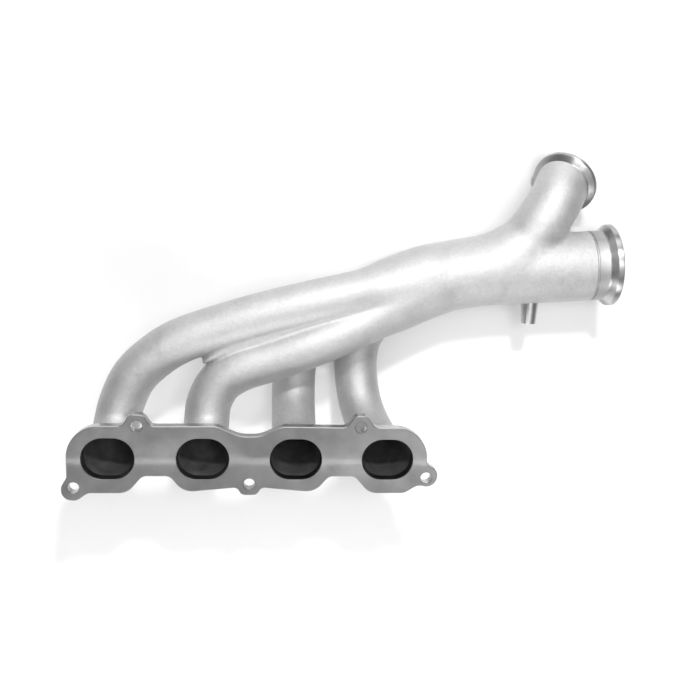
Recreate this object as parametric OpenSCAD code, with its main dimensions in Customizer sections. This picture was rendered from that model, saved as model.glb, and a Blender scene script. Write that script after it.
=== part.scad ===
// Four-into-one turbocharger exhaust manifold for a four-cylinder head.
// Units are millimetres. Origin: centre of the head flange face, midway between ports 2 and 3.
// +X runs along the port row, +Y runs from the ports to the collector, +Z leaves the head face.

/* [Head flange] */
// Thickness of the flange plate
flange_t = 12; // [8:0.5:16]
// Distance between neighbouring ports
port_pitch = 94; // [80:0.5:110]
// Port width along the row
port_w = 52.4; // [40:0.1:60]
// Port height
port_h = 42.5; // [30:0.1:50]
// Diameter of the five stud holes
stud_d = 11.5; // [8:0.1:14]

/* [Runners] */
// Outside diameter of a runner
runner_d = 47.5; // [42:0.5:54]
// Wall thickness of the cast tubes
wall = 3; // [2:0.25:5]
// Depth of the webs between neighbouring runners
web_t = 18; // [12:1:24]

/* [Outlet] */
// Outside diameter of the outlet trunk
trunk_d = 76; // [70:0.5:84]
// Outside diameter of the turbocharger V-band
turbo_band_d = 89; // [84:0.5:96]
// Length of the turned neck behind the turbocharger V-band face
turbo_neck_l = 27; // [20:0.5:34]

/* [Wastegate] */
// Outside diameter of the wastegate branch
branch_d = 58; // [50:0.5:64]
// Outside diameter of the wastegate V-band
wastegate_band_d = 71; // [68:0.5:78]

/* [Sensor bung] */
// Outside diameter of the bung where it joins the trunk
bung_d = 19; // [16:0.5:24]
// Diameter of the threaded hole through the bung
bung_hole_d = 9; // [6:0.5:11]

/* [View] */
// Node to draw

/* [Hidden] */

runner_r = runner_d / 2;
trunk_r = trunk_d / 2;
branch_r = branch_d / 2;
trunk_bore_r = trunk_r - wall;
branch_bore_r = branch_r - wall;
band_t = 11.5;
wastegate_band_t = 9;
wastegate_neck_l = 11;
// How far a cut runs past the face it opens.
overrun = 1;
// Chamfer of the turned pieces, and where along its thickness a V-band's taper meets the rim.
edge = 1.2;
taper_end = 0.7;
rim_start = 0.6;

// Length of a cut through the flange.
flange_cut = flange_t + 2 * overrun;

// Ports are flat-sided ovals: the flat is what the width has over the height.
port_flat = (port_w - port_h) / 2;
// Below this height a runner has turned from the oval of the port into a round tube.
round_z = -45;
port_x = [for (i = [0:3]) (i - 1.5) * port_pitch];

// Stud holes as [x, y].
studs = [[-175, -30.3], [-112.5, 34], [0, -26.1], [112.5, 34], [182, -19.3]];

// Corners of the flange outline as [x, y, corner radius], clockwise from the upper left.
flange_corners = [
    [-182, 34, 33], [-127, 34, 8], [-119, 46, 8], [-106, 46, 8], [-98, 34, 8],
    [-33, 34.5, 18], [-10, 24, 30], [10, 24, 30], [33, 34.5, 18],
    [98, 34, 8], [106, 46, 8], [119, 46, 8], [127, 34, 8], [182, 34, 33],
    [182, -5, 8], [194, -11, 10], [193, -32, 11], [174, -27, 12], [160, -36, 14],
    [123, -36, 18], [108, -18, 10], [81, -18, 10], [67, -35, 20],
    [12, -30, 6], [8, -38, 7], [-8, -38, 7], [-12, -30, 6],
    [-66, -35, 20], [-80, -18, 10], [-107, -18, 10], [-122, -36, 18],
    [-161, -36, 10], [-172, -44, 10], [-187, -43, 10], [-187, -29, 10], [-181.5, -20, 8]
];

// Waypoints of the tube centrelines. Upper pair of runners 1 and 2, lower pair 3 and 4.
runner_1_way = [
    [-141, 0, -12], [-140.5, 5, -36], [-139, 22, -54], [-134, 44, -60], [-122, 70, -61],
    [-102, 91, -61], [-74, 109.5, -61], [-34, 124.5, -61], [7, 137.5, -61], [58, 151, -62],
    [106, 162, -66], [155, 173, -77], [178, 181, -80]
];
runner_2_way = [
    [-47, 0, -12], [-46.5, 5, -36], [-46, 22, -54], [-43.5, 44, -60], [-32, 66, -61],
    [-9, 81, -61], [20.5, 91, -61], [62, 106.5, -61], [104, 124, -65], [163, 152, -77], [184, 163, -80]
];
runner_3_way = [
    [47, 0, -12], [47, 5, -46], [47, 22, -78], [47, 48, -100], [49, 80, -109.5],
    [58, 108, -110], [78, 131, -110], [110, 149, -109], [157, 169, -101], [180, 176, -98.5]
];
runner_4_way = [
    [141, 0, -12], [137, 4, -46], [128, 18, -78], [121, 38, -98], [117, 64, -108],
    [116.5, 88, -110], [122, 112, -109.5], [138, 134, -106], [163, 152, -101], [184, 163, -98.5]
];
trunk_way = [
    [125, 149, -89], [159, 163, -89], [181, 171.5, -89], [208, 179.5, -89], [250, 187, -89],
    [300, 190.5, -89], [366, 195.1, -89]
];
branch_way = [
    [225, 182, -89], [258, 191, -88], [288, 213, -86], [310, 242, -84], [325, 265, -89],
    [334.7, 280.7, -99.6]
];

runner_ways = [runner_1_way, runner_2_way, runner_3_way, runner_4_way];

// The turbocharger outlet points along the row, turned a little towards +Y.
outlet_turn = 4;
outlet_face = [393, 197, -89];
// The wastegate outlet heads between +X and +Y and dives away from the head face.
branch_turn = 40;
branch_dive = 42;
branch_face = [341, 286, -107];
bung_at = [305, 130, -90];
bung_l = 26;
bung_tip_d = 16;
// How far the sensor hole runs: through the bung and the wall of the trunk behind it.
bung_hole_l = bung_l + 12;
// Length of trunk that the root of the bung is fitted to.
bung_fit_l = 150;

// Samples between two waypoints, and sides of a cast tube.
steps = 2;
sides = 32;
// Waypoint where each runner ends and the collector begins.
runner_end = [8, 6, 6, 5];
// Waypoint where the trunk leaves the collector, radius of its first ring, and what each ring adds.
trunk_start = 2;
trunk_start_r = 30;
trunk_start_step = 4;

// Outlines of the webs seen along z, and the heights they fill.
web_1_2_top = -48;
web_1_2_outline = [
    [-56, 98], [-47, 81], [-10, 82], [20, 92], [62, 107], [104, 124],
    [100, 160], [58, 151], [7, 137], [-34, 124], [-50, 118]
];
web_2_3_top = -73;
web_2_3_outline = [[38, 66], [70, 80], [66, 92], [34, 78]];

// Turn between two points on a rounded corner, and facet counts of the round machined surfaces.
arc_step = 10;
port_fn = 64;
stud_fn = 48;
band_fn = 96;
bung_fn = 64;
fit_fn = 180;

// Display colours of the cast and the machined steel.
cast = [0.78, 0.78, 0.77];
machined = [0.62, 0.62, 0.63];

function unit(v) = v / norm(v);
function outlet_axis() = [cos(outlet_turn), sin(outlet_turn), 0];
function branch_axis() = [
    cos(branch_dive) * cos(branch_turn),
    cos(branch_dive) * sin(branch_turn),
    -sin(branch_dive)
];

// The same turn given between -180 and 180 degrees.
function short_turn(a) = (a + 360 + 180) % 360 - 180;

// Arc that rounds the corner b between its neighbours a and c.
function corner_arc(a, b, c, r) =
    let (
        u = unit(a - b),
        v = unit(c - b),
        half = acos(u * v) / 2,
        centre = b + unit(u + v) * r / sin(half),
        from = b + u * r / tan(half) - centre,
        to = b + v * r / tan(half) - centre,
        start = atan2(from.y, from.x),
        turn = short_turn(atan2(to.y, to.x) - start),
        n = max(2, ceil(abs(turn) / arc_step))
    )
    [for (i = [0:n]) centre + r * [cos(start + turn * i / n), sin(start + turn * i / n)]];

function rounded(corners) =
    let (
        n = len(corners),
        p = [for (c = corners) [c.x, c.y]]
    )
    [for (i = [0:n - 1]) each corner_arc(p[(i + n - 1) % n], p[i], p[(i + 1) % n], corners[i].z)];

// Smooth curve through the waypoints.
function spline_point(a, b, c, d, t) =
    0.5 * (2 * b + (c - a) * t + (2 * a - 5 * b + 4 * c - d) * t * t + (3 * b - a - 3 * c + d) * t * t * t);

function spline(way) =
    let (
        n = len(way),
        p = concat([2 * way[0] - way[1]], way, [2 * way[n - 1] - way[n - 2]])
    )
    [
        for (i = [1:n - 1], k = [0:steps - 1]) spline_point(p[i - 1], p[i], p[i + 1], p[i + 2], k / steps),
        way[n - 1]
    ];

// One ring of a tube: centre p, direction t, half flat w of an oval, radius r.
function ring(p, t, w, r) =
    let (
        side = unit(cross(t, [0, 1, 1])),
        up = cross(side, t)
    )
    [
        for (i = [0:sides - 1])
        let (a = 360 * (i + 0.5) / sides)
        p + (r * cos(a) + (cos(a) > 0 ? w : -w)) * side + r * sin(a) * up
    ];

// Stations of a tube as [centre, direction, half flat of its oval].
function stations(path, first, last, flat) =
    let (n = len(path) - 1)
    [
        for (i = [0:n])
        let (
            free_dir = unit(path[min(i + 1, n)] - path[max(i - 1, 0)]),
            dir = i == 0 ? first : i == n && norm(last) > 0 ? last : free_dir,
            oval = max(0, min(1, (path[i].z - round_z) / (-flange_t - round_z)))
        )
        [path[i], dir, flat * oval]
    ];

// Solid tube through the stations, with one radius for each.
module sweep(list, radii) {
    n = len(list) - 1;
    points = [for (i = [0:n]) each ring(list[i][0], list[i][1], list[i][2], radii[i])];
    start_cap = [for (k = [0:sides - 1]) sides - 1 - k];
    end_cap = [for (k = [0:sides - 1]) n * sides + k];
    walls = [
        for (i = [0:n - 1], k = [0:sides - 1])
        let (
            a = i * sides + k,
            b = i * sides + (k + 1) % sides
        )
        each [[a, b, b + sides], [a, b + sides, a + sides]]
    ];
    polyhedron(points, concat([start_cap], walls, [end_cap]));
}

// The same tube with its end rings moved out past both ends, to cut a bore right through.
module bore_sweep(list, radii) {
    n = len(list) - 1;
    before = [list[0][0] - list[0][1] * overrun, list[0][1], list[0][2]];
    between = [for (i = [1:n - 1]) list[i]];
    after = [list[n][0] + list[n][1] * overrun, list[n][1], list[n][2]];
    sweep(concat([before], between, [after]), radii);
}

down = [0, 0, -1];
free = [0, 0, 0];
runner_lists = [for (way = runner_ways) stations(spline(way), down, free, port_flat)];
trunk_list = stations(spline(trunk_way), unit(trunk_way[1] - trunk_way[0]), outlet_axis(), 0);
branch_list = stations(spline(branch_way), unit(branch_way[1] - branch_way[0]), branch_axis(), 0);
trunk_cut = trunk_start * steps;
trunk_last = len(trunk_list) - 1;

function runner_cut(i) = runner_end[i] * steps;
function runner_last(i) = len(runner_lists[i]) - 1;
function trunk_grow(i) = min(trunk_r, trunk_start_r + i * trunk_start_step);

module runner_outer(i, a, b)
    sweep([for (k = [a:b]) runner_lists[i][k]], [for (k = [a:b]) runner_r]);

module runner_bore(i, a, b)
    bore_sweep([for (k = [a:b]) runner_lists[i][k]], [for (k = [a:b]) runner_r - wall]);

module trunk_outer(a, b) sweep([for (k = [a:b]) trunk_list[k]], [for (k = [a:b]) trunk_grow(k)]);

// The bore has no ring in the plane that parts the collector from the trunk, so both cut cleanly.
module trunk_bore() {
    kept = [for (k = [0:trunk_last]) if (k != trunk_cut) k];
    bore_sweep([for (k = kept) trunk_list[k]], [for (k = kept) trunk_grow(k) - wall]);
}

module branch_outer() sweep(branch_list, [for (s = branch_list) branch_r]);

module branch_bore() bore_sweep(branch_list, [for (s = branch_list) branch_bore_r]);

module port() {
    for (s = [-1, 1])
        translate([s * port_flat, 0, 0])
            cylinder(r = port_h / 2, h = flange_cut, center = true, $fn = port_fn);
    cube([2 * port_flat, port_h, flange_cut], center = true);
}

module head_flange() color(machined) difference() {
    translate([0, 0, -flange_t]) linear_extrude(flange_t) polygon(rounded(flange_corners));
    for (x = port_x) translate([x, 0, -flange_t / 2]) port();
    for (s = studs)
        translate([s.x, s.y, -flange_t / 2])
            cylinder(d = stud_d, h = flange_cut, center = true, $fn = stud_fn);
}

module runner(i) color(cast) difference() {
    runner_outer(i, 0, runner_cut(i));
    runner_bore(i, 0, runner_cut(i));
}

module runner_1() runner(0);
module runner_2() runner(1);
module runner_3() runner(2);
module runner_4() runner(3);

module web_1_2() color(cast) difference() {
    translate([0, 0, web_1_2_top - web_t]) linear_extrude(web_t) polygon(web_1_2_outline);
    runner_outer(0, 0, runner_last(0));
    runner_outer(1, 0, runner_last(1));
}

module web_2_3() color(cast) difference() {
    translate([0, 0, web_2_3_top - web_t]) linear_extrude(web_t) polygon(web_2_3_outline);
    runner_outer(1, 0, runner_last(1));
    runner_outer(2, 0, runner_last(2));
}

module merge_collector() color(cast) difference() {
    union() {
        for (i = [0:3]) runner_outer(i, runner_cut(i), runner_last(i));
        trunk_outer(0, trunk_cut);
    }
    for (i = [0:3]) runner_bore(i, runner_cut(i), runner_last(i));
    trunk_bore();
}

module outlet_trunk() color(cast) difference() {
    trunk_outer(trunk_cut, trunk_last);
    trunk_bore();
    branch_bore();
    bung_hole();
}

module wastegate_branch() color(cast) difference() {
    branch_outer();
    branch_bore();
    trunk_outer(0, trunk_last);
}

// Local z runs out of the turbocharger outlet, with the V-band face at 0.
module at_outlet() translate(outlet_face) rotate([0, 0, outlet_turn]) rotate([0, 90, 0]) children();

// Local z runs out of the wastegate outlet, with the V-band face at 0.
module at_branch() translate(branch_face) rotate([0, 90 + branch_dive, branch_turn]) children();

// Turned V-band flange with its neck: face at 0, neck end at -neck.
// A short neck gets a smaller chamfer and fillet, so that they never meet.
module v_band(bore_r, neck_r, band_r, thick, neck) {
    fillet = min(edge, (neck - thick) / 3);
    rotate_extrude($fn = band_fn) polygon([
        [bore_r, -neck], [neck_r - fillet, -neck], [neck_r, -neck + fillet],
        [neck_r, -thick - fillet], [neck_r + fillet, -thick],
        [band_r - edge, -thick * taper_end], [band_r, -thick * rim_start],
        [band_r, -edge], [band_r - edge, 0], [bore_r, 0]
    ]);
}

module turbo_flange() color(machined)
    at_outlet() v_band(trunk_bore_r, trunk_r, turbo_band_d / 2, band_t, turbo_neck_l);

module wastegate_flange() color(machined)
    at_branch() v_band(branch_bore_r, branch_r, wastegate_band_d / 2, wastegate_band_t, wastegate_neck_l);

module bung_hole()
    translate(bung_at - [0, overrun, 0]) rotate([-90, 0, 0])
        cylinder(d = bung_hole_d, h = bung_hole_l, $fn = stud_fn);

module sensor_bung() color(machined) difference() {
    translate(bung_at) rotate([-90, 0, 0]) cylinder(d1 = bung_tip_d, d2 = bung_d, h = bung_l, $fn = bung_fn);
    bung_hole();
    at_outlet() translate([0, 0, -bung_fit_l]) cylinder(r = trunk_r, h = bung_fit_l, $fn = fit_fn);
}

head_flange();
runner_1();
runner_2();
runner_3();
runner_4();
web_1_2();
web_2_3();
merge_collector();
outlet_trunk();
wastegate_branch();
turbo_flange();
wastegate_flange();
sensor_bung();
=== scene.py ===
"""Exhaust manifold: cast body, machined flange, turned rings, camera, lights and floor.

Shapes are worked out in millimetres, in the frame of the CAD, and turned into metres when a mesh is made.
"""
import math

import bmesh
import bpy
import numpy as np
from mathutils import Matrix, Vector, geometry


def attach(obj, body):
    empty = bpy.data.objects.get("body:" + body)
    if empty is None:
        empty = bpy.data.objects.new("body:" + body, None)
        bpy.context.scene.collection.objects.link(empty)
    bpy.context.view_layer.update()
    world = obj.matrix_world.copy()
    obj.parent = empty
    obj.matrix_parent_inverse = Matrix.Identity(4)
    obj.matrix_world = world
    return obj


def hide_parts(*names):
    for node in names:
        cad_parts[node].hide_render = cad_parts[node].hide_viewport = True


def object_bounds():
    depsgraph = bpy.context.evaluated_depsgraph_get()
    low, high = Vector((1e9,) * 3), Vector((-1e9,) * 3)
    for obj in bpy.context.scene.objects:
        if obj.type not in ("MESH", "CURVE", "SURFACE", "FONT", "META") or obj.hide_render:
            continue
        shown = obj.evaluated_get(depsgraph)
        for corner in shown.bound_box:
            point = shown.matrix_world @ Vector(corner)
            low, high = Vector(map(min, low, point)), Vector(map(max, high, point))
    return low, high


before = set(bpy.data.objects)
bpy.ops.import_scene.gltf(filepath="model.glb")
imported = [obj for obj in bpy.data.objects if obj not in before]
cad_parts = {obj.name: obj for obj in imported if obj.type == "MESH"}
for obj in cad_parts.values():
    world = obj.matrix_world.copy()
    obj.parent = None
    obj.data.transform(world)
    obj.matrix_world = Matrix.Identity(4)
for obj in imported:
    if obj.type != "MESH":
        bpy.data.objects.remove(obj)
cad_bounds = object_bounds()

MM = 0.001

# Head flange. Its corners are (x, y, rounding radius), clockwise from the upper left.
FLANGE_T = 12.0
FACE_CHAMFER = 0.7
HOLE_CHAMFER = 0.5
PORT_X = (-141.0, -47.0, 47.0, 141.0)
PORT_W = 52.4
PORT_H = 42.5
PORT_FLAT = (PORT_W - PORT_H) / 2
STUD_D = 11.5
STUDS = ((-175.0, -30.3), (-112.5, 34.0), (0.0, -26.1), (112.5, 34.0), (182.0, -19.3))
FLANGE_CORNERS = (
    (-182, 34, 33), (-127, 34, 8), (-119, 46, 8), (-106, 46, 8), (-98, 34, 8),
    (-33, 34.5, 18), (-10, 24, 30), (10, 24, 30), (33, 34.5, 18),
    (98, 34, 8), (106, 46, 8), (119, 46, 8), (127, 34, 8), (182, 34, 33),
    (182, -5, 8), (194, -11, 10), (193, -32, 11), (174, -27, 12), (160, -36, 14),
    (123, -36, 18), (108, -18, 10), (81, -18, 10), (67, -35, 20),
    (12, -30, 6), (8, -38, 7), (-8, -38, 7), (-12, -30, 6),
    (-66, -35, 20), (-80, -18, 10), (-107, -18, 10), (-122, -36, 18),
    (-161, -36, 10), (-172, -44, 10), (-187, -43, 10), (-187, -29, 10), (-181.5, -20, 8),
)

# Cast tubes: outside radii, wall, and the height below which a runner is round.
RUNNER_R = 23.75
TRUNK_R = 38.0
BRANCH_R = 29.0
WALL = 3.0
ROUND_Z = -45.0
# Trunk and branch start thin inside the collector: first radius, and how much it grows per waypoint.
TRUNK_START_R = 30
TRUNK_GROWTH = 8
BRANCH_START_R = 14
BRANCH_GROWTH = 7

# Waypoints of the centre lines. RUNNER_END and TRUNK_START number the one at the parting plane, from 0.
RUNNER_WAYS = (
    (
        (-141, 0, -12), (-140.5, 5, -36), (-139, 22, -54), (-134, 44, -60), (-122, 70, -61),
        (-102, 91, -61), (-74, 109.5, -61), (-34, 124.5, -61), (7, 137.5, -61), (58, 151, -62),
        (106, 162, -66), (155, 173, -77), (178, 181, -80),
    ),
    (
        (-47, 0, -12), (-46.5, 5, -36), (-46, 22, -54), (-43.5, 44, -60), (-32, 66, -61),
        (-9, 81, -61), (20.5, 91, -61), (62, 106.5, -61), (104, 124, -65), (163, 152, -77),
        (184, 163, -80),
    ),
    (
        (47, 0, -12), (47, 5, -46), (47, 22, -78), (47, 48, -100), (49, 80, -109.5),
        (58, 108, -110), (78, 131, -110), (110, 149, -109), (157, 169, -101), (180, 176, -98.5),
    ),
    (
        (141, 0, -12), (137, 4, -46), (128, 18, -78), (121, 38, -98), (117, 64, -108),
        (116.5, 88, -110), (122, 112, -109.5), (138, 134, -106), (163, 152, -101), (184, 163, -98.5),
    ),
)
RUNNER_END = (8, 6, 6, 5)
TRUNK_WAY = (
    (125, 149, -89), (159, 163, -89), (181, 171.5, -89), (208, 179.5, -89), (250, 187, -89),
    (300, 190.5, -89), (366, 195.1, -89),
)
TRUNK_START = 2
BRANCH_WAY = (
    (225, 182, -89), (258, 191, -88), (288, 213, -86), (310, 242, -84), (325, 265, -89),
    (334.7, 280.7, -99.6),
)
# Where the rings and the bung end, which way they face, and how far back the rings' necks reach.
OUTLET_FACE = (393, 197, -89)
OUTLET_TURN = math.radians(4)
BRANCH_FACE = (341, 286, -107)
BRANCH_TURN = math.radians(40)
BRANCH_DIVE = math.radians(42)
OUTLET_AXIS = (math.cos(OUTLET_TURN), math.sin(OUTLET_TURN), 0.0)
BRANCH_AXIS = (
    math.cos(BRANCH_DIVE) * math.cos(BRANCH_TURN),
    math.cos(BRANCH_DIVE) * math.sin(BRANCH_TURN),
    -math.sin(BRANCH_DIVE),
)
TURBO_NECK = 27.0
WASTEGATE_NECK = 11.0
BUNG_TIP = (305, 130, -90)
BUNG_AXIS = (0, -1, 0)

# Box and step of the cast body's grid.
CAST_BOX = ((-176, -30, -142), (380, 320, 2))
STEP = 2.0
# Curve samples between two waypoints, and how far a tube runs past its end.
SAMPLES = 6
OVERRUN = 6.0
# How far round a tube its distance is worked out, and the distance given to samples further out.
TUBE_MARGIN = 18
FAR = 60.0
# Vertices are moved onto the surface in this many rounds. The slope is read this share of a step to each
# side, and its square is taken as at least this much.
SETTLE_ROUNDS = 3
SLOPE_REACH = 0.6
LEAST_SLOPE_SQUARED = 0.25

# Fillets between tubes. Runners 1 and 2 are the upper pair, 3 and 4 the lower one. The fillet between trunk
# and branch is wide up to CROTCH_X, and turns tight over CROTCH_RUN.
UPPER_FILLET = 4
LOWER_FILLET = 8
PAIRS_FILLET = 6
WEB_FILLET = 2
TRUNK_FILLET = 16
WIDE_FILLET = 24.0
TIGHT_FILLET = 9.0
CROTCH_X = 262.0
CROTCH_RUN = 36.0
BORE_TRUNK_FILLET = 8
BORE_BRANCH_FILLET = 12

# Webs: how far one reaches from its two runners, half its thickness, and the rounding of side and end.
WEB_REACH = 8
WEB_HALF = 9
WEB_ROUND = 2
WEB_END_ROUND = 3

# Distance from a parting plane's centre within which faces are cut, and where the trunk can begin.
CUT_REACH = 60
TRUNK_FROM_X = 150

# Points round each turned piece and hole, degrees of arc to a point, and the largest angle shaded smooth.
RING_POINTS = 160
BUNG_POINTS = 72
PORT_POINTS = 72
STUD_POINTS = 40
ARC_STEP = 5
SMOOTH_ANGLE = math.radians(30)


# ---------------------------------------------------------------- cast body

def spline(way):
    """A smooth curve through the waypoints, as an array of points."""
    p = np.array(way, float)
    p = np.vstack([2 * p[0] - p[1], p, 2 * p[-1] - p[-2]])
    out = []
    for a, b, c, d in zip(p[:-3], p[1:-2], p[2:-1], p[3:]):
        for k in range(SAMPLES):
            t = k / SAMPLES
            out.append(0.5 * (2 * b + (c - a) * t + (2 * a - 5 * b + 4 * c - d) * t ** 2
                              + (3 * b - a - 3 * c + d) * t ** 3))
    out.append(p[-2])
    return np.array(out)


def unit(v):
    v = np.asarray(v, float)
    return v / np.linalg.norm(v)


class Grid:
    """Sample points on a box, with helpers to fill and read signed distances."""

    def __init__(self, low, high, step):
        self.step = step
        self.low = np.array(low, float)
        self.shape = tuple(int(math.ceil((end - start) / step)) + 1 for start, end in zip(low, high))
        self.axes = [self.low[i] + step * np.arange(self.shape[i], dtype=np.float32) for i in range(3)]

    def block(self, low, high):
        """Slices of the samples between two corners."""
        return tuple(
            slice(
                max(0, int((low[i] - self.low[i]) / self.step)),
                min(self.shape[i], int((high[i] - self.low[i]) / self.step) + 2),
            )
            for i in range(3)
        )

    def tube(self, path, radii, flats=None):
        """Distance to a tube along path. flats widens its section along X, as the ports are wide."""
        out = np.full(self.shape, FAR, np.float32)
        flats = np.zeros(len(path)) if flats is None else flats
        for i in range(len(path) - 1):
            a, b = path[i], path[i + 1]
            reach = max(radii[i], radii[i + 1]) + max(flats[i], flats[i + 1]) + TUBE_MARGIN
            cut = self.block(np.minimum(a, b) - reach, np.maximum(a, b) + reach)
            x = self.axes[0][cut[0]][:, None, None] - a[0]
            y = self.axes[1][cut[1]][None, :, None] - a[1]
            z = self.axes[2][cut[2]][None, None, :] - a[2]
            d = b - a
            t = np.clip((x * d[0] + y * d[1] + z * d[2]) / float(d @ d), 0, 1)
            flat = flats[i] + (flats[i + 1] - flats[i]) * t
            qx = x - t * d[0]
            qx = np.sign(qx) * np.maximum(np.abs(qx) - flat, 0)
            far = np.sqrt(qx ** 2 + (y - t * d[1]) ** 2 + (z - t * d[2]) ** 2)
            near = far - (radii[i] + (radii[i + 1] - radii[i]) * t)
            out[cut] = np.minimum(out[cut], near)
        return out

    def plane(self, point, normal):
        """Distance to a plane, positive on the side that normal points to."""
        n = unit(normal)
        x, y, z = (self.axes[i].reshape([-1 if j == i else 1 for j in range(3)]) for i in range(3))
        far = (x - point[0]) * n[0] + (y - point[1]) * n[1] + (z - point[2]) * n[2]
        return far.astype(np.float32)

    def read(self, field, points):
        """Values of a field at points, interpolated between samples."""
        f = (points - self.low) / self.step
        i = np.clip(np.floor(f).astype(int), 0, np.array(self.shape) - 2)
        t = f - i
        out = 0
        for corner in range(8):
            o = ((corner >> 2) & 1, (corner >> 1) & 1, corner & 1)
            w = np.prod([t[:, k] if o[k] else 1 - t[:, k] for k in range(3)], axis=0)
            out = out + w * field[i[:, 0] + o[0], i[:, 1] + o[1], i[:, 2] + o[2]]
        return out


def blend(a, b, k):
    """Union of two distances with a fillet of about size k."""
    h = np.maximum(k - np.abs(a - b), 0) / k
    return np.minimum(a, b) - h * h * k / 4


def cut_soft(a, b, k):
    """Intersection of two distances with an edge rounded over k."""
    return -blend(-a, -b, k)


def longer(path):
    """The path carried on past both of its ends."""
    first = path[0] + unit(path[0] - path[1]) * OVERRUN
    last = path[-1] + unit(path[-1] - path[-2]) * OVERRUN
    return np.vstack([first, path, last])


def surface(grid, field):
    """Quads on the zero surface of a field: one vertex in each cell that the surface crosses."""
    inside = field < 0
    nx, ny, nz = grid.shape
    count = np.zeros((nx - 1, ny - 1, nz - 1), np.int8)
    for dx in (0, 1):
        for dy in (0, 1):
            for dz in (0, 1):
                count += inside[dx:nx - 1 + dx, dy:ny - 1 + dy, dz:nz - 1 + dz]
    cells = np.argwhere((count > 0) & (count < 8))
    index = np.full(count.shape, -1, np.int32)
    index[tuple(cells.T)] = np.arange(len(cells))
    total = np.zeros((len(cells), 3))
    hits = np.zeros(len(cells))
    corners = [(a, b, c) for a in (0, 1) for b in (0, 1) for c in (0, 1)]
    for p in corners:
        for axis in range(3):
            if p[axis]:
                continue
            q = tuple(v + (i == axis) for i, v in enumerate(p))
            va = field[tuple((cells + p).T)]
            vb = field[tuple((cells + q).T)]
            cross = (va < 0) != (vb < 0)
            t = np.where(cross, va / np.where(cross, va - vb, 1), 0)
            spot = np.tile(np.array(p, float), (len(cells), 1))
            spot[:, axis] += t
            total[cross] += spot[cross]
            hits[cross] += 1
    verts = grid.low + grid.step * (cells + total / hits[:, None])
    quads = []
    for axis in range(3):
        u, v = (axis + 1) % 3, (axis + 2) % 3
        head = [slice(None)] * 3
        tail = [slice(None)] * 3
        head[axis] = slice(0, -1)
        tail[axis] = slice(1, None)
        change = np.argwhere(inside[tuple(head)] != inside[tuple(tail)])
        keep = (change[:, u] > 0) & (change[:, v] > 0)
        keep &= (change[:, u] < grid.shape[u] - 1) & (change[:, v] < grid.shape[v] - 1)
        change = change[keep]
        flip = inside[tuple(change.T)]
        ring = []
        for du, dv in ((-1, -1), (0, -1), (0, 0), (-1, 0)):
            c = change.copy()
            c[:, u] += du
            c[:, v] += dv
            ring.append(index[tuple(c.T)])
        quad = np.stack(ring, 1)
        quad[~flip] = quad[~flip][:, ::-1]
        quads.append(quad)
    return verts, np.vstack(quads)


def slope_at(grid, field, points, reach):
    """Slope of a field at points, from samples a little to each side."""
    return np.stack([
        grid.read(field, points + d) - grid.read(field, points - d) for d in np.eye(3) * reach
    ], 1) / (2 * reach)


def settle(grid, field, verts):
    """Moves vertices onto the zero surface, along the field's own slope."""
    for _ in range(SETTLE_ROUNDS):
        slope = slope_at(grid, field, verts, grid.step * SLOPE_REACH)
        size = np.maximum((slope ** 2).sum(1), LEAST_SLOPE_SQUARED)
        verts = verts - slope * (grid.read(field, verts) / size)[:, None]
    return verts


def bisect_near(bm, point, normal, drop_beyond=False):
    """Cuts the faces near a point by a plane through it, and can drop what lies beyond the plane."""
    centre = Vector(point)
    faces = [f for f in bm.faces if (f.calc_center_median() - centre).length < CUT_REACH]
    # Dicts keep their order from run to run. Sets of mesh elements do not.
    edges = dict.fromkeys(e for f in faces for e in f.edges)
    verts = dict.fromkeys(v for f in faces for v in f.verts)
    bmesh.ops.bisect_plane(bm, geom=list(verts) + list(edges) + faces, dist=1e-4, plane_co=centre,
                           plane_no=Vector(normal), clear_outer=drop_beyond)


def cut_across(way, number):
    """The plane square to a way at one of its waypoints, as (point, direction)."""
    path = spline(way)
    k = number * SAMPLES
    return path[k], unit(path[k + 1] - path[k - 1])


def runner_cuts():
    """Where each runner gives way to the collector."""
    return [cut_across(way, end) for way, end in zip(RUNNER_WAYS, RUNNER_END)]


def trunk_cut():
    """Where the collector gives way to the trunk."""
    return cut_across(TRUNK_WAY, TRUNK_START)


def owner_names(grid, tubes, middles):
    """Name of the piece that each face belongs to: its nearest tube, then the side of that tube's cut."""
    nearest = np.argmin(np.stack([grid.read(t, middles) for t in tubes], 1), axis=1)
    names = np.full(len(middles), "merge_collector", dtype=object)
    for i, (point, normal) in enumerate(runner_cuts()):
        names[(nearest == i) & ((middles - point) @ normal < 0)] = f"runner_{i + 1}"
    point, normal = trunk_cut()
    beyond = ((middles - point) @ normal > 0) & (middles[:, 0] > TRUNK_FROM_X)
    names[(nearest <= 4) & beyond] = "outlet_trunk"
    names[nearest == 5] = "wastegate_branch"
    names[nearest == 6] = "web_1_2"
    names[nearest == 7] = "web_2_3"
    return names


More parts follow.
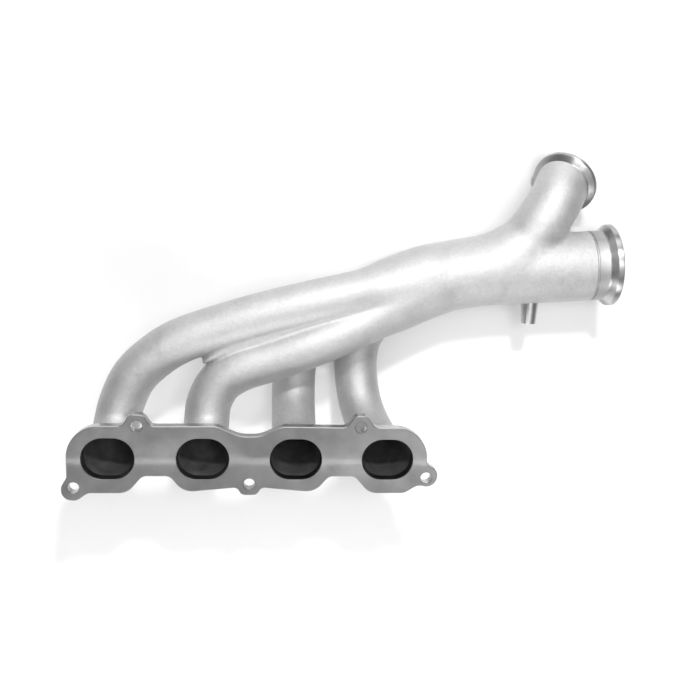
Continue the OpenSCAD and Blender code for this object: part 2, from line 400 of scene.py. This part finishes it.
def skin_pieces(grid, field, tubes):
    """One closed skin, cut by the parting planes. Gives vertices, faces, piece names and normals."""
    verts, quads = surface(grid, field)
    verts = settle(grid, field, verts)
    mesh = bpy.data.meshes.new("skin")
    mesh.from_pydata(verts.tolist(), [], quads.tolist())
    bm = bmesh.new()
    bm.from_mesh(mesh)
    bpy.data.meshes.remove(mesh)
    for point, normal in runner_cuts() + [trunk_cut()]:
        bisect_near(bm, point, normal)
    for x in PORT_X:
        bisect_near(bm, (x, 0, -FLANGE_T), (0, 0, 1), drop_beyond=True)
    outlet_end = np.array(OUTLET_FACE) - TURBO_NECK * np.array(OUTLET_AXIS)
    bisect_near(bm, outlet_end, OUTLET_AXIS, drop_beyond=True)
    branch_end = np.array(BRANCH_FACE) - WASTEGATE_NECK * np.array(BRANCH_AXIS)
    bisect_near(bm, branch_end, BRANCH_AXIS, drop_beyond=True)
    verts = np.array([v.co for v in bm.verts])
    faces = [[v.index for v in f.verts] for f in bm.faces]
    middles = np.array([f.calc_center_median() for f in bm.faces])
    bm.free()
    slope = slope_at(grid, field, verts, grid.step)
    normals = slope / np.maximum(np.linalg.norm(slope, axis=1), 1e-9)[:, None]
    return verts, faces, owner_names(grid, tubes, middles), normals


def make_piece(name, skins):
    """A mesh object in metres, from (vertices, faces, normals) skins in millimetres.

    Each skin takes its own material, in the order of the skins.
    """
    points, polygons, normals, skin_of = [], [], [], []
    for number, (verts, faces, directions) in enumerate(skins):
        used = sorted({i for f in faces for i in f})
        place = {old: len(points) + new for new, old in enumerate(used)}
        points += (verts[used] * MM).tolist()
        normals += directions[used].tolist()
        polygons += [[place[i] for i in f] for f in faces]
        skin_of += [number] * len(faces)
    mesh = bpy.data.meshes.new(name)
    mesh.from_pydata(points, [], polygons)
    mesh.polygons.foreach_set("material_index", skin_of)
    mesh.polygons.foreach_set("use_smooth", [True] * len(mesh.polygons))
    mesh.normals_split_custom_set_from_vertices(normals)
    mesh.update()
    piece = bpy.data.objects.new(name, mesh)
    bpy.context.scene.collection.objects.link(piece)
    return piece


def crotch_fillet(grid):
    """Size of the fillet between branch and trunk: wide on the collector side, tight in the crotch."""
    x = grid.axes[0][:, None, None]
    tight = np.clip((x - CROTCH_X) / CROTCH_RUN, 0, 1)
    return (WIDE_FILLET + (TIGHT_FILLET - WIDE_FILLET) * tight).astype(np.float32)


def growing_tube(grid, way, first, growth, last):
    """Distance to a tube whose radius grows from first to last, by growth at each waypoint."""
    path = longer(spline(way))
    return grid.tube(path, np.clip(first + growth * np.arange(len(path)) / SAMPLES, first, last))


def web(grid, one, two, height, edge, edge_normal, end_x):
    """Thin web between two tubes at a height, ending at a slanting edge and at end_x."""
    slab = np.abs(grid.plane((0, 0, height), (0, 0, 1))) - WEB_HALF
    field = cut_soft(np.maximum(one, two) - WEB_REACH, slab, WEB_ROUND)
    field = cut_soft(field, grid.plane(edge, edge_normal), WEB_END_ROUND)
    return np.maximum(field, grid.plane((end_x, 0, 0), (1, 0, 0)))


def cast_body():
    """The cast tubes blended into one skin outside and one inside, parted where the CAD nodes part."""
    grid = Grid(*CAST_BOX, STEP)
    runners = []
    for way in RUNNER_WAYS:
        path = spline(way)
        wide = np.clip((path[:, 2] - ROUND_Z) / (-FLANGE_T - ROUND_Z), 0, 1)
        wide = np.concatenate([[1], wide, [0]])
        runners.append(grid.tube(longer(path), np.full(len(wide), RUNNER_R), PORT_FLAT * wide))
    trunk = growing_tube(grid, TRUNK_WAY, TRUNK_START_R, TRUNK_GROWTH, TRUNK_R)
    branch = growing_tube(grid, BRANCH_WAY, BRANCH_START_R, BRANCH_GROWTH, BRANCH_R)

    one, two, three, four = runners
    web_1_2 = web(grid, one, two, height=-57, edge=(-51.4, 89.4, 0), edge_normal=(-0.88, -0.47, 0), end_x=104)
    web_2_3 = web(grid, two, three, height=-82, edge=(38, 66, 0), edge_normal=(0.40, -0.916, 0), end_x=74)

    body = blend(one, two, UPPER_FILLET)
    body = blend(body, web_1_2, WEB_FILLET)
    body = blend(body, blend(three, four, LOWER_FILLET), PAIRS_FILLET)
    body = blend(body, web_2_3, WEB_FILLET)
    body = blend(body, trunk, TRUNK_FILLET)
    body = blend(body, branch, crotch_fillet(grid))

    bore = blend(np.minimum.reduce(runners), trunk, BORE_TRUNK_FILLET)
    bore = blend(bore, branch, BORE_BRANCH_FILLET) + WALL

    hollow = runners + [trunk, branch]
    outside = skin_pieces(grid, body, hollow + [web_1_2, web_2_3])
    inside = skin_pieces(grid, -bore, hollow)
    pieces = []
    for name in sorted(set(outside[2])):
        skins = []
        for verts, faces, names, normals in (outside, inside):
            mine = [f for f, owner in zip(faces, names) if owner == name]
            skins.append((verts, mine, normals))
        piece = make_piece("cast_" + name, [skin for skin in skins if skin[1]])
        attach(piece, "root")
        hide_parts(name)
        pieces.append(piece)
    return pieces


# ---------------------------------------------------------------- machined pieces

def corner_arc(a, b, c, r):
    """Points on the arc that rounds corner b between its neighbours a and c."""
    u, v = unit(a - b), unit(c - b)
    half = math.acos(float(np.clip(u @ v, -1, 1))) / 2
    centre = b + unit(u + v) * r / math.sin(half)
    first = b + u * r / math.tan(half) - centre
    last = b + v * r / math.tan(half) - centre
    start = math.atan2(first[1], first[0])
    turn = (math.atan2(last[1], last[0]) - start + 3 * math.pi) % (2 * math.pi) - math.pi
    n = max(3, math.ceil(abs(math.degrees(turn)) / ARC_STEP))
    return [centre + r * np.array([math.cos(start + turn * i / n), math.sin(start + turn * i / n)])
            for i in range(n + 1)]


def flange_outline():
    """The flange's rounded outline, anticlockwise."""
    corners = [np.array(c[:2], float) for c in FLANGE_CORNERS]
    points = []
    for i, (_, _, r) in enumerate(FLANGE_CORNERS):
        points += corner_arc(corners[i - 1], corners[i], corners[(i + 1) % len(corners)], r)
    return np.array(points)[::-1]


def oval(x, y, r, flat, n):
    """A flat-sided oval of n points, anticlockwise."""
    a = (np.arange(n) + 0.5) * 2 * math.pi / n
    return np.stack([x + r * np.cos(a) + flat * np.sign(np.cos(a)), y + r * np.sin(a)], 1)


def inset(loop, by):
    """The loop moved inwards by a distance, or outwards if it is negative. Anticlockwise loops only."""
    ahead, behind = np.roll(loop, -1, 0), np.roll(loop, 1, 0)
    d = ahead - behind
    n = np.stack([-d[:, 1], d[:, 0]], 1) / np.linalg.norm(d, axis=1)[:, None]
    return loop + n * by


def object_from(name, bm):
    """Finishes a bmesh of millimetre vertices as an object shaded smooth up to an angle."""
    bmesh.ops.scale(bm, vec=(MM, MM, MM), verts=bm.verts)
    bmesh.ops.recalc_face_normals(bm, faces=bm.faces)
    mesh = bpy.data.meshes.new(name)
    bm.to_mesh(mesh)
    bm.free()
    mesh.polygons.foreach_set("use_smooth", [True] * len(mesh.polygons))
    mesh.set_sharp_from_angle(angle=SMOOTH_ANGLE)
    piece = bpy.data.objects.new(name, mesh)
    bpy.context.scene.collection.objects.link(piece)
    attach(piece, "root")
    return piece


def head_flange():
    """The plate with chamfered outline, ports and stud holes."""
    outline = flange_outline()
    holes = [oval(x, 0, PORT_H / 2, PORT_FLAT, PORT_POINTS) for x in PORT_X]
    holes += [oval(x, y, STUD_D / 2, 0, STUD_POINTS) for x, y in STUDS]
    bm = bmesh.new()

    def level(z, outer_in, hole_out):
        """Every loop of the plate at one height, the outline moved in and the holes moved out."""
        loops = [inset(outline, outer_in)] + [inset(h, -hole_out) for h in holes]
        return [[bm.verts.new((x, y, z)) for x, y in loop] for loop in loops]

    levels = [
        level(0, FACE_CHAMFER, HOLE_CHAMFER),
        level(-FACE_CHAMFER, 0, 0),
        level(-FLANGE_T + FACE_CHAMFER, 0, 0),
        level(-FLANGE_T, FACE_CHAMFER, 0),
    ]
    for upper, lower in zip(levels, levels[1:]):
        for a, b in zip(upper, lower):
            for i in range(len(a)):
                j = (i + 1) % len(a)
                bm.faces.new((a[i], b[i], b[j], a[j]))
    for loops, up in ((levels[0], True), (levels[-1], False)):
        flat = [v for loop in loops for v in loop]
        for tri in geometry.tessellate_polygon([[v.co for v in loop] for loop in loops]):
            face = bm.faces.new([flat[i] for i in tri])
            face.normal_update()
            if (face.normal.z > 0) != up:
                face.normal_flip()
    piece = object_from("flange_plate", bm)
    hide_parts("head_flange")
    return piece


def turned(name, point, axis, profile, closed=True, n=RING_POINTS, satin_to=None):
    """A turned piece: profile is (distance along axis, radius) pairs, with point at distance 0.

    Faces that lie wholly before satin_to take the second material.
    """
    axis = unit(axis)
    side = unit(np.cross(axis, (0, 0, 1)))
    up = np.cross(side, axis)
    bm = bmesh.new()
    rings = []
    for s, r in profile:
        ring = []
        for i in range(n):
            a = 2 * math.pi * i / n
            p = np.array(point, float) + axis * s + r * (math.cos(a) * side + math.sin(a) * up)
            ring.append(bm.verts.new(p))
        rings.append(ring)
    last = len(rings) if closed else len(rings) - 1
    for k in range(last):
        a, b = rings[k], rings[(k + 1) % len(rings)]
        ends = (profile[k][0], profile[(k + 1) % len(rings)][0])
        satin = satin_to is not None and max(ends) <= satin_to
        for i in range(n):
            j = (i + 1) % n
            face = bm.faces.new((a[i], b[i], b[j], a[j]))
            face.material_index = 1 if satin else 0
    return object_from(name, bm)


def v_band(name, node, point, axis, bore, neck_r, band_r, thick, neck, grooves):
    """V-band flange: satin neck, tapered back, rim and a stepped sealing face.

    thick is the length of the band and neck that of the whole piece, both back from the sealing face.
    grooves lists where turned grooves start, as distances along the axis.
    """
    edge = 1.2
    groove_depth = 0.8
    room = min(1.0, (neck - thick) / 4)
    profile = [(-neck, bore), (-neck, neck_r - 0.9), (-neck + 0.5 * room, neck_r)]
    for start in grooves:
        floor_r = neck_r - groove_depth
        profile += [(start, neck_r), (start + 0.2, floor_r), (start + 0.7, floor_r), (start + 0.9, neck_r)]
    profile += [
        (-thick - 2.4 * room, neck_r), (-thick - 1.6 * room, neck_r + 0.2),
        (-thick - 0.8 * room, neck_r + 0.7), (-thick, neck_r + 1.6),
        (-thick * 0.66, band_r - 1.0), (-thick * 0.6, band_r - 0.3), (-thick * 0.54, band_r),
        (-edge, band_r), (-0.5, band_r - 0.75), (0, band_r - edge),
        (0, bore + 4.6), (-1.4, bore + 4.2), (-1.4, bore + 0.5), (-1.9, bore),
    ]
    piece = turned(name, point, axis, profile, satin_to=-thick - 1.5)
    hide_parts(node)
    return piece


def sensor_bung():
    """Tapered bung with a chamfered tip and a threaded hole."""
    root, hole_r = -25.5, 4.2
    turns, pitch, thread_start = 12, 1.25, -1.2
    groove_r, crest_r = 4.85, 4.15
    profile = [(root, 9.4), (-22, 9.3), (-0.8, 8.05), (-0.2, 7.8), (0, 7.3), (0, 5.6), (-0.7, 5.0)]
    for i in range(turns):
        start = thread_start - pitch * i
        profile += [(start, groove_r), (start - pitch / 2, crest_r)]
    profile.append((root, hole_r))
    piece = turned("bung", BUNG_TIP, BUNG_AXIS, profile, closed=False, n=BUNG_POINTS)
    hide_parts("sensor_bung")
    return piece


# ---------------------------------------------------------------- materials

def new_material(name):
    """A new material, with its nodes, its links and its shader."""
    material = bpy.data.materials.new(name)
    material.use_nodes = True
    nodes, links = material.node_tree.nodes, material.node_tree.links
    return material, nodes, links, nodes["Principled BSDF"]


def object_coordinates(nodes):
    return nodes.new("ShaderNodeTexCoord").outputs["Object"]


def noise(nodes, links, vector, scale, detail=4.0, rough=0.6):
    """Noise over the surface. A larger scale makes it finer."""
    node = nodes.new("ShaderNodeTexNoise")
    node.inputs["Scale"].default_value = scale
    node.inputs["Detail"].default_value = detail
    node.inputs["Roughness"].default_value = rough
    links.new(vector, node.inputs["Vector"])
    return node.outputs["Fac"]


def spread(nodes, links, value, low, high):
    """The middle of a noise, stretched to run from low to high."""
    node = nodes.new("ShaderNodeMapRange")
    node.inputs["From Min"].default_value = 0.3
    node.inputs["From Max"].default_value = 0.7
    node.inputs["To Min"].default_value = low
    node.inputs["To Max"].default_value = high
    links.new(value, node.inputs["Value"])
    return node.outputs["Result"]


def grey(nodes, links, value):
    node = nodes.new("ShaderNodeCombineColor")
    for channel in ("Red", "Green", "Blue"):
        links.new(value, node.inputs[channel])
    return node.outputs["Color"]


def bump(nodes, links, height, distance, strength, under=None):
    """Bump from a height of 0 to 1, with distance in metres, on top of another bump if one is given."""
    node = nodes.new("ShaderNodeBump")
    node.inputs["Distance"].default_value = distance
    node.inputs["Strength"].default_value = strength
    links.new(height, node.inputs["Height"])
    if under is not None:
        links.new(under, node.inputs["Normal"])
    return node.outputs["Normal"]


def multiply(nodes, links, a, b):
    node = nodes.new("ShaderNodeMath")
    node.operation = "MULTIPLY"
    links.new(a, node.inputs[0])
    links.new(b, node.inputs[1])
    return node.outputs["Value"]


def vector_math(nodes, links, operation, vector, constant):
    """A vector operation between a linked vector and a constant one."""
    node = nodes.new("ShaderNodeVectorMath")
    node.operation = operation
    links.new(vector, node.inputs[0])
    node.inputs[1].default_value = constant
    return node


def cast_steel():
    """Bead-blasted stainless: fine even grain over the faint waviness and mottling of a casting."""
    material, nodes, links, shader = new_material("cast_steel")
    at = object_coordinates(nodes)
    patches = noise(nodes, links, at, scale=38, detail=5, rough=0.65)
    mottle = noise(nodes, links, at, scale=240, detail=4, rough=0.7)
    grain = noise(nodes, links, at, scale=900, detail=3, rough=0.75)
    wave = noise(nodes, links, at, scale=90, detail=3, rough=0.5)
    tone = spread(nodes, links, patches, low=0.55, high=0.63)
    tone = multiply(nodes, links, tone, spread(nodes, links, mottle, low=0.95, high=1.04))
    tone = multiply(nodes, links, tone, spread(nodes, links, grain, low=0.90, high=1.09))
    links.new(grey(nodes, links, tone), shader.inputs["Base Color"])
    links.new(spread(nodes, links, patches, low=0.58, high=0.66), shader.inputs["Roughness"])
    shader.inputs["Metallic"].default_value = 0.88
    relief = bump(nodes, links, wave, distance=0.0015, strength=0.3)
    relief = bump(nodes, links, mottle, distance=0.0005, strength=0.35, under=relief)
    relief = bump(nodes, links, grain, distance=0.0003, strength=0.6, under=relief)
    links.new(relief, shader.inputs["Normal"])
    return material


def bore_painted_shade():
    """Inside of the tubes: as cast and dull, its dark grey tone painted shade for the unlit bores."""
    material, nodes, links, shader = new_material("bore_painted_shade")
    at = object_coordinates(nodes)
    patches = noise(nodes, links, at, scale=70, detail=5, rough=0.65)
    # Painted shade: the cast metal is darkened here to stand in for the shade inside the tubes.
    tone = spread(nodes, links, patches, low=0.10, high=0.17)
    links.new(grey(nodes, links, tone), shader.inputs["Base Color"])
    links.new(spread(nodes, links, patches, low=0.55, high=0.7), shader.inputs["Roughness"])
    shader.inputs["Metallic"].default_value = 0.7
    grain = noise(nodes, links, at, scale=600, detail=3, rough=0.7)
    links.new(bump(nodes, links, grain, distance=0.0003, strength=0.5), shader.inputs["Normal"])
    return material


def machined_flange():
    """Face-milled steel: fine straight tool marks and a slight haze."""
    material, nodes, links, shader = new_material("machined_flange")
    at = object_coordinates(nodes)
    squeeze = nodes.new("ShaderNodeMapping")
    squeeze.inputs["Scale"].default_value = (30, 900, 900)
    links.new(at, squeeze.inputs["Vector"])
    marks = noise(nodes, links, squeeze.outputs["Vector"], scale=1, detail=3)
    haze = noise(nodes, links, at, scale=28)
    tone = spread(nodes, links, haze, low=0.30, high=0.40)
    links.new(grey(nodes, links, tone), shader.inputs["Base Color"])
    links.new(spread(nodes, links, haze, low=0.31, high=0.38), shader.inputs["Roughness"])
    shader.inputs["Metallic"].default_value = 1.0
    shader.inputs["Anisotropic"].default_value = 0.35
    shader.inputs["Coat Weight"].default_value = 0.6
    shader.inputs["Coat Roughness"].default_value = 0.05
    links.new(bump(nodes, links, marks, distance=0.00005, strength=0.5), shader.inputs["Normal"])
    return material


def turned_steel(name, point, axis, rough, tone, drawn_out):
    """Lathe-turned steel: fine rings round the piece's own axis, so that gloss is drawn out across them."""
    material, nodes, links, shader = new_material(name)
    at = object_coordinates(nodes)
    centre = [v * MM for v in point]
    from_centre = vector_math(nodes, links, "SUBTRACT", at, centre).outputs["Vector"]
    along = vector_math(nodes, links, "DOT_PRODUCT", from_centre, axis).outputs["Value"]
    around = vector_math(nodes, links, "CROSS_PRODUCT", from_centre, axis).outputs["Vector"]
    ring_noise = nodes.new("ShaderNodeTexNoise")
    ring_noise.noise_dimensions = "1D"
    ring_noise.inputs["Scale"].default_value = 1500
    ring_noise.inputs["Detail"].default_value = 3
    links.new(along, ring_noise.inputs["W"])
    rings = ring_noise.outputs["Fac"]
    haze = noise(nodes, links, at, scale=70)
    shade = spread(nodes, links, haze, low=tone - 0.05, high=tone + 0.05)
    shade = multiply(nodes, links, shade, spread(nodes, links, rings, low=0.90, high=1.08))
    links.new(grey(nodes, links, shade), shader.inputs["Base Color"])
    links.new(spread(nodes, links, haze, low=rough - 0.04, high=rough + 0.04), shader.inputs["Roughness"])
    shader.inputs["Metallic"].default_value = 1.0
    shader.inputs["Anisotropic"].default_value = drawn_out
    shader.inputs["Anisotropic Rotation"].default_value = 0.25
    links.new(around, shader.inputs["Tangent"])
    links.new(bump(nodes, links, rings, distance=0.00003, strength=0.3), shader.inputs["Normal"])
    return material


def white_floor():
    """Smooth white studio floor, very slightly uneven in tone."""
    material, nodes, links, shader = new_material("white_floor")
    patches = noise(nodes, links, object_coordinates(nodes), scale=3)
    tone = spread(nodes, links, patches, low=0.87, high=0.89)
    links.new(grey(nodes, links, tone), shader.inputs["Base Color"])
    shader.inputs["Roughness"].default_value = 0.09
    shader.inputs["Specular IOR Level"].default_value = 1.0
    return material


def paint(pieces, *materials):
    """Gives each piece the materials, in the order of its material numbers."""
    for piece in pieces:
        for material in materials:
            piece.data.materials.append(material)


# ---------------------------------------------------------------- build

# The second material is painted shade for the inside of the tubes.
paint(cast_body(), cast_steel(), bore_painted_shade())
paint([head_flange()], machined_flange())
turbo = v_band(
    "turbo_v_band", "turbo_flange", OUTLET_FACE, OUTLET_AXIS,
    bore=TRUNK_R - WALL, neck_r=TRUNK_R, band_r=44.45, thick=11.5, neck=TURBO_NECK,
    grooves=(1.6 - TURBO_NECK,),
)
wastegate = v_band(
    "wastegate_v_band", "wastegate_flange", BRANCH_FACE, BRANCH_AXIS,
    bore=BRANCH_R - WALL, neck_r=BRANCH_R, band_r=35.45, thick=9, neck=WASTEGATE_NECK,
    grooves=(),
)
paint(
    [turbo],
    turned_steel("turned_turbo", OUTLET_FACE, OUTLET_AXIS, rough=0.38, tone=0.48, drawn_out=0.75),
    turned_steel("satin_turbo", OUTLET_FACE, OUTLET_AXIS, rough=0.55, tone=0.50, drawn_out=0.25),
)
paint(
    [wastegate],
    turned_steel("turned_wastegate", BRANCH_FACE, BRANCH_AXIS, rough=0.38, tone=0.46, drawn_out=0.75),
    turned_steel("satin_wastegate", BRANCH_FACE, BRANCH_AXIS, rough=0.55, tone=0.50, drawn_out=0.25),
)
paint([sensor_bung()], turned_steel("turned_bung", BUNG_TIP, BUNG_AXIS, rough=0.36, tone=0.56, drawn_out=0.6))

# Floor at the height of the part's lowest point.
floor_z = cad_bounds[0][2]
bpy.ops.mesh.primitive_plane_add(size=6, location=(0, 0, floor_z))
floor = bpy.context.active_object
floor.name = "floor"
paint([floor], white_floor())


def area_light(name, spot, aim, size, power):
    """A rectangular light at spot, facing aim. Its size is (width, height) in metres."""
    light = bpy.data.lights.new(name, "AREA")
    light.shape = "RECTANGLE"
    light.size, light.size_y = size
    light.energy = power
    lamp = bpy.data.objects.new(name, light)
    lamp.location = spot
    lamp.rotation_euler = (Vector(aim) - Vector(spot)).to_track_quat("-Z", "Y").to_euler()
    bpy.context.scene.collection.objects.link(lamp)


# Soft lights all round, a small key for the crisp shadow, and a narrow strip for the flange's light band.
middle = (0.1, 0.12, -0.08)
area_light("overhead", spot=(0.35, 0.50, 1.55), aim=middle, size=(2.2, 1.5), power=8.5)
area_light("main", spot=(0.30, 0.45, 1.50), aim=middle, size=(0.45, 0.45), power=5.5)
area_light("key", spot=(0.25, 1.30, 1.35), aim=middle, size=(0.16, 0.16), power=18.5)
area_light("back", spot=(0.1, 1.9, 0.55), aim=middle, size=(1.8, 0.8), power=10)
area_light("front", spot=(0.0, -0.75, 0.45), aim=(0.0, -0.2, -0.13), size=(1.1, 0.3), power=7)
area_light("strip", spot=(0.1, -0.394, 1.2), aim=(0.1, -0.394, 0), size=(1.3, 0.010), power=0.45)

world = bpy.data.worlds.new("studio")
world.use_nodes = True
backdrop = world.node_tree.nodes["Background"]
backdrop.inputs["Color"].default_value = (1, 1, 1, 1)
backdrop.inputs["Strength"].default_value = 0.24
bpy.context.scene.world = world

# Camera above the part, tilted back and turned a little, on a 36 mm wide frame.
camera_data = bpy.data.cameras.new("camera")
camera_data.sensor_width = 36.0
camera_data.lens = 48.86
camera_data.clip_end = 20
camera = bpy.data.objects.new("camera", camera_data)
camera.location = (0.0034, 0.3000, 0.9256)
camera.rotation_mode = "ZXY"
camera.rotation_euler = (math.radians(-11.268), math.radians(-5.853), math.radians(1.982))
bpy.context.scene.collection.objects.link(camera)
bpy.context.scene.camera = camera

bpy.context.scene.view_settings.view_transform = "Standard"
